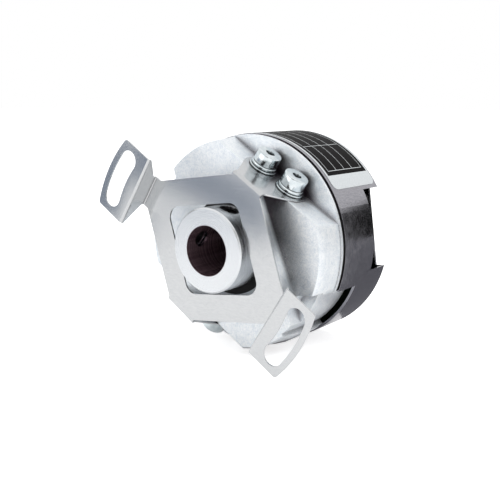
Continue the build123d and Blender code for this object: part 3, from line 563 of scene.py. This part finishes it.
def finished_copy(node, material):
    """A CAD node's shape with its facets joined, smooth curves and small rounded edges."""
    name = "finished_" + node
    form = bmesh.new()
    form.from_mesh(NODES[node].data)
    bmesh.ops.remove_doubles(form, verts=form.verts, dist=mm(JOIN_DISTANCE))
    bmesh.ops.dissolve_limit(
        form, angle_limit=math.radians(FLAT_ANGLE), verts=form.verts, edges=form.edges)
    mesh = bpy.data.meshes.new(name)
    form.to_mesh(mesh)
    form.free()
    mesh.shade_smooth()
    mesh.set_sharp_from_angle(angle=math.radians(CAD_SHARP_ANGLE))
    piece = link_piece(name, mesh, BODY_OF[node], material)
    if node in EDGE_RADIUS:
        bevel = piece.modifiers.new("edges", "BEVEL")
        bevel.width = mm(EDGE_RADIUS[node])
        bevel.segments = 2
        bevel.limit_method = "ANGLE"
        bevel.angle_limit = math.radians(CAD_SHARP_ANGLE)
        bevel.harden_normals = True
        bevel.use_clamp_overlap = True
        finished = evaluated_mesh(piece)
        piece.modifiers.clear()
        piece.data = finished
        finished.name = name
    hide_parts(node)


def lathe(form, profile, depth, segments):
    """Turns a closed outline of (radius, distance out) about a line along X at a depth."""
    rings = []
    for step in range(segments):
        turn = 2 * math.pi * step / segments
        up, aside = math.cos(turn), math.sin(turn)
        rings.append([form.verts.new((mm(out), mm(depth + radius * up), mm(radius * aside)))
                      for radius, out in profile])
    for ring, after in zip(rings, rings[1:] + rings[:1]):
        for index in range(len(profile)):
            following = (index + 1) % len(profile)
            if profile[index][0] or profile[following][0]:
                form.faces.new((ring[index], ring[following], after[following], after[index]))


def rounded(radius, low, high, corner, inner=0.0):
    """Outline of a disc or washer whose outer corners are rounded, as (radius, distance out)."""
    steps = 4
    points = [(inner, low)]
    for centre, start in ((low + corner, -90), (high - corner, 0)):
        for step in range(steps + 1):
            angle = math.radians(start + 90 * step / steps)
            points.append((radius - corner + corner * math.cos(angle), centre + corner * math.sin(angle)))
    return points + [(inner, high)]


def swept(form, points, frames, section):
    """A closed section swept along points, each with its two directions, and capped at the ends."""
    rings = []
    for point, (first, second) in zip(points, frames):
        rings.append([form.verts.new(point + first * mm(u) + second * mm(v)) for u, v in section])
    for ring, after in zip(rings, rings[1:]):
        for index in range(len(section)):
            following = (index + 1) % len(section)
            form.faces.new((ring[index], ring[following], after[following], after[index]))
    form.faces.new(rings[0])
    form.faces.new(list(reversed(rings[-1])))


def helix_frames(radius, start, pitch, turns, depth, steps):
    """Points and directions of a helix about a line along X at a depth, as radius, then along the line."""
    points, frames = [], []
    for step in range(steps + 1):
        turn = 2 * math.pi * turns * step / steps
        out = Vector((0, math.cos(turn), math.sin(turn)))
        centre = Vector((mm(start + pitch * turns * step / steps), mm(depth), 0))
        points.append(centre + out * mm(radius))
        frames.append((out, Vector((1, 0, 0))))
    return points, frames


def to_mesh(form, name):
    """Closes the seams, turns the faces outwards and smooths all but the sharp edges."""
    bmesh.ops.remove_doubles(form, verts=form.verts, dist=mm(SEAM_DISTANCE))
    bmesh.ops.recalc_face_normals(form, faces=form.faces)
    mesh = bpy.data.meshes.new(name)
    form.to_mesh(mesh)
    form.free()
    mesh.shade_smooth()
    mesh.set_sharp_from_angle(angle=math.radians(DRAWN_SHARP_ANGLE))
    return mesh


def cut_with(mesh, cutter, name):
    """The first mesh with the second cut out of it."""
    body = new_object(name, mesh)
    tool = new_object(name + "_cutter", cutter)
    cut = body.modifiers.new("cut", "BOOLEAN")
    cut.operation = "DIFFERENCE"
    cut.solver = "EXACT"
    cut.object = tool
    result = evaluated_mesh(body)
    for thing in (body, tool):
        bpy.data.objects.remove(thing)
    return result


# Copies about the shaft

def copies_tree():
    """Copies one drawn piece in a short row, then turns the row about the shaft."""
    tree = bpy.data.node_groups.new("copies_about_shaft", "GeometryNodeTree")
    face = tree.interface
    face.new_socket("Geometry", in_out="INPUT", socket_type="NodeSocketGeometry")
    inputs = {"Row Count": "Int", "Row Step": "Float", "Turn Count": "Int", "Turn Step": "Float",
              "First Angle": "Float", "Material": "Material"}
    for name, kind in inputs.items():
        face.new_socket(name, in_out="INPUT", socket_type="NodeSocket" + kind)
    face.new_socket("Geometry", in_out="OUTPUT", socket_type="NodeSocketGeometry")
    given = add(tree, "NodeGroupInput").outputs

    step = add(tree, "ShaderNodeCombineXYZ", {"Z": given["Row Step"]}).outputs[0]
    half = maths(tree, "MULTIPLY", maths(tree, "SUBTRACT", given["Row Count"], 1.0), -0.5)
    start = add(tree, "ShaderNodeVectorMath", {0: step, "Scale": half}, operation="SCALE").outputs["Vector"]
    line = add(tree, "GeometryNodeMeshLine", {
        "Count": given["Row Count"], "Start Location": start, "Offset": step}).outputs["Mesh"]
    row = add(tree, "GeometryNodeInstanceOnPoints", {
        "Points": line, "Instance": given["Geometry"]}).outputs[0]

    turns = add(tree, "GeometryNodeMeshLine", {
        "Count": given["Turn Count"], "Offset": (0, 0, 0)}).outputs["Mesh"]
    index = add(tree, "GeometryNodeInputIndex").outputs[0]
    turned = maths(tree, "MULTIPLY_ADD", index, given["Turn Step"], given["First Angle"])
    rotation = add(tree, "ShaderNodeCombineXYZ", {"Y": maths(tree, "MULTIPLY", turned, -1.0)}).outputs[0]
    copies = add(tree, "GeometryNodeInstanceOnPoints", {
        "Points": turns, "Instance": row, "Rotation": rotation}).outputs[0]

    real = add(tree, "GeometryNodeRealizeInstances", {"Geometry": copies}).outputs[0]
    dressed = add(tree, "GeometryNodeSetMaterial", {
        "Geometry": real, "Material": given["Material"]}).outputs[0]
    add(tree, "NodeGroupOutput", {"Geometry": dressed})
    return tree


def copied_piece(name, mesh, tree, body, material, replaced=None, slot=None, **inputs):
    """One drawn mesh, copied by the tree with its named inputs, as one finished piece."""
    source = new_object(name + "_drawn", mesh)
    modifier = source.modifiers.new("copies", "NODES")
    modifier.node_group = tree
    values = {key.replace("_", " "): value for key, value in inputs.items()}
    values["Material"] = material
    for socket in tree.interface.items_tree:
        if socket.in_out == "INPUT" and socket.name in values:
            modifier[socket.identifier] = values[socket.name]
    finished = evaluated_mesh(source)
    finished.name = name
    source.modifiers.clear()
    bpy.data.objects.remove(source)
    piece = link_piece(name, finished, body, material)
    if replaced:
        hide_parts(replaced)


# Drawn pieces

def recess_arm(top, turn):
    """Cutter for one bar of a screw's cross recess, narrower towards its bottom."""
    form = bmesh.new()
    verts = bmesh.ops.create_cube(form, size=1.0)["verts"]
    for vert in verts:
        narrow = ARM_TAPER if vert.co.x < 0 else 1.0
        x, y, z = vert.co
        vert.co = Vector((x * mm(ARM_DEPTH), y * mm(ARM_LENGTH * narrow), z * mm(ARM_WIDTH * narrow)))
    place = Matrix.Translation((mm(top + ARM_RAISE), mm(SCREW_DEPTH), 0))
    turned = place @ Matrix.Rotation(math.radians(turn), 4, "X")
    bmesh.ops.transform(form, matrix=turned, verts=verts)
    return to_mesh(form, "recess_arm_cutter")


def recess_core(top):
    """Cutter for the hollow in the middle of a screw's cross recess."""
    floor, wall_foot = top - RECESS_DEPTH, top - RECESS_WALL_DEPTH
    above, above_radius = top + 1, RECESS_MOUTH_RADIUS + 0.2
    outline = [(0.0, floor), (RECESS_FLOOR_RADIUS, wall_foot), (RECESS_MOUTH_RADIUS, top),
               (above_radius, above), (0.0, above)]
    form = bmesh.new()
    lathe(form, outline, SCREW_DEPTH, 24)
    return to_mesh(form, "recess_core")


def screw_mesh():
    """Cylinder head screw, its corners rounded and a cross recess pressed in."""
    seat = TAB_SEAT + FLAT_WASHER + SPRING_WASHER
    top = seat + HEAD_HEIGHT
    tip = seat - SCREW_LENGTH
    flat = HEAD_RADIUS - HEAD_CORNER
    # These rings just inside the rounded corners keep the head's flat faces evenly shaded.
    seat_ring, top_ring = flat - 0.05, flat - 0.06
    outline = [(0.0, tip), (TIP_RADIUS, tip), (SCREW_RADIUS, tip + SCREW_TIP), (SCREW_RADIUS, seat)]
    outline += [(seat_ring, seat)] + rounded(HEAD_RADIUS, seat, top, HEAD_CORNER)[1:-1]
    outline += [(top_ring, top), (HEAD_RING_RADIUS, top), (0.0, top)]
    form = bmesh.new()
    lathe(form, outline, SCREW_DEPTH, 64)
    head = to_mesh(form, "screw_drawn")
    for turn in RECESS_TURNS:
        head = cut_with(head, recess_arm(top, turn), "recess_arm")
    head = cut_with(head, recess_core(top), "recess_core")
    head.shade_smooth()
    head.set_sharp_from_angle(angle=math.radians(DRAWN_SHARP_ANGLE))
    return head


def flat_washer_mesh():
    """Stamped washer, rounded at its outer edge."""
    outline = rounded(FLAT_WASHER_RADIUS, TAB_SEAT, TAB_SEAT + FLAT_WASHER, FLAT_WASHER_CORNER,
                      inner=FLAT_WASHER_HOLE)
    form = bmesh.new()
    lathe(form, outline, SCREW_DEPTH, 64)
    return to_mesh(form, "flat_washer_drawn")


def spring_washer_mesh():
    """Split spring washer, wound as one flat turn whose ends don't quite meet."""
    middle = TAB_SEAT + FLAT_WASHER + SPRING_WASHER / 2
    points, frames = helix_frames(
        SPRING_WASHER_MIDDLE, middle, 0.0, SPRING_WASHER_TURNS, SCREW_DEPTH, 60)
    half = SPRING_WASHER / 2 - SPRING_WASHER_CLEARANCE
    edge = SPRING_WASHER_HALF_WIDTH
    flat, shoulder, corner = edge - 0.2, edge - 0.05, half - 0.12
    section = [(-edge, -half), (flat, -half), (shoulder, -corner), (edge, 0.0),
               (shoulder, corner), (flat, half), (-edge, half)]
    form = bmesh.new()
    swept(form, points, frames, section)
    return to_mesh(form, "spring_washer_drawn")


def thread_mesh():
    """Thread turns that show inside a set screw hole, next to the bore."""
    points, frames = helix_frames(
        THREAD_RADIUS, THREAD_START, THREAD_PITCH, THREAD_TURNS, SET_SCREW_DEPTH, 72)
    ridge = [(0.12, -0.36), (0.12, 0.36), (-0.3, 0.06), (-0.3, -0.06)]
    form = bmesh.new()
    swept(form, points, frames, ridge)
    return to_mesh(form, "thread_drawn")


def disc_line_mesh():
    """One opaque line of the code disc's track, half as wide as its share of the circle."""
    half = mm(math.pi * TRACK_MIDDLE / DISC_LINES / 2)
    low, high = mm(DISC_BACK), mm(DISC_BACK + LINE_HEIGHT)
    corners = [(x, y, z) for x in (mm(TRACK_INNER), mm(TRACK_OUTER)) for y in (low, high)
               for z in (-half, half)]
    form = bmesh.new()
    verts = [form.verts.new(corner) for corner in corners]
    for face in ((0, 1, 3, 2), (4, 6, 7, 5), (0, 4, 5, 1), (2, 3, 7, 6), (0, 2, 6, 4), (1, 5, 7, 3)):
        form.faces.new([verts[index] for index in face])
    return to_mesh(form, "disc_line_drawn")


def label_stations():
    """Distances round the cover of the label's columns, closer together at its rounded corners."""
    corner_steps, middle_steps = 8, 80
    start = [LABEL_CORNER * (1 - math.cos(math.pi / 2 * i / corner_steps)) for i in range(corner_steps + 1)]
    length = LABEL_WIDTH - 2 * LABEL_CORNER
    middle = [LABEL_CORNER + length * i / middle_steps for i in range(1, middle_steps)]
    return start + middle + [LABEL_WIDTH - place for place in reversed(start)]


def label_column(form, spots, place):
    """Pairs of an inner and an outer corner at one station of the label, from front to back."""
    depth_steps = 6
    edge = min(place, LABEL_WIDTH - place)
    inset = 0.0
    if edge < LABEL_CORNER:
        inset = LABEL_CORNER - math.sqrt(max(LABEL_CORNER ** 2 - (LABEL_CORNER - edge) ** 2, 0))
    angle = math.radians(LABEL_START) + place / COVER_RADIUS
    inner = COVER_RADIUS + LABEL_GAP
    column = []
    for step in range(depth_steps + 1):
        depth = LABEL_FRONT + inset + (LABEL_HEIGHT - 2 * inset) * step / depth_steps
        pair = [form.verts.new((mm(r * math.cos(angle)), mm(depth), mm(r * math.sin(angle))))
                for r in (inner, inner + LABEL_THICKNESS)]
        for vert in pair:
            spots[vert] = (place, depth - LABEL_FRONT)
        column.append(pair)
    return column


def foil_label():
    """The foil label, bent round the cover, with rounded corners and its own place in millimetres."""
    form = bmesh.new()
    layer = form.loops.layers.uv.new("label_mm")
    spots = {}
    grid = [label_column(form, spots, place) for place in label_stations()]
    for left, right in zip(grid, grid[1:]):
        for a, b, c, d in zip(left, right, right[1:], left[1:]):
            form.faces.new((a[1], b[1], c[1], d[1]))
            form.faces.new((d[0], c[0], b[0], a[0]))
        a, b, c, d = left[0], right[0], right[-1], left[-1]
        form.faces.new((a[0], b[0], b[1], a[1]))
        form.faces.new((d[1], c[1], c[0], d[0]))
    for column in (grid[0], grid[-1]):
        for low, high in zip(column, column[1:]):
            form.faces.new((low[0], low[1], high[1], high[0]))
    for face in form.faces:
        for loop in face.loops:
            loop[layer].uv = spots[loop.vert]
    link_piece("foil_label", to_mesh(form, "foil_label"), "stator", label_foil())


def dress_object():
    """Finishes the solids, and adds what is drawn here in their place or on them."""
    finishes = all_finishes()
    for node, material in finishes.items():
        if node not in FASTENERS:
            finished_copy(node, material)

    tree = copies_tree()
    on_tabs = {"Row_Count": 2, "Row_Step": mm(SCREW_SPACING), "Turn_Count": 2, "Turn_Step": math.pi,
               "First_Angle": math.radians(TAB_ANGLE)}
    for node, mesh in zip(FASTENERS, (screw_mesh(), flat_washer_mesh(), spring_washer_mesh())):
        copied_piece("finished_" + node, mesh, tree, "stator", finishes[node], replaced=node, **on_tabs)
    copied_piece("set_screw_hole_threads", thread_mesh(), tree, "rotor", finishes["front_balls"],
                 slot="bearing_steel", Row_Count=1, Row_Step=0.0, Turn_Count=2,
                 Turn_Step=math.radians(SET_SCREW_TURN), First_Angle=math.radians(SET_SCREW_ANGLE))
    copied_piece("code_disc_lines", disc_line_mesh(), tree, "rotor", finishes["hub_set_screws"],
                 slot="black_steel", Row_Count=1, Row_Step=0.0, Turn_Count=DISC_LINES,
                 Turn_Step=math.radians(360 / DISC_LINES), First_Angle=0.0)
    foil_label()


def main():
    dress_object()
    white_floor()
    white_world()
    stage_cards()
    top_softbox()
    add_camera()
    bpy.context.scene.view_settings.view_transform = "Standard"


main()
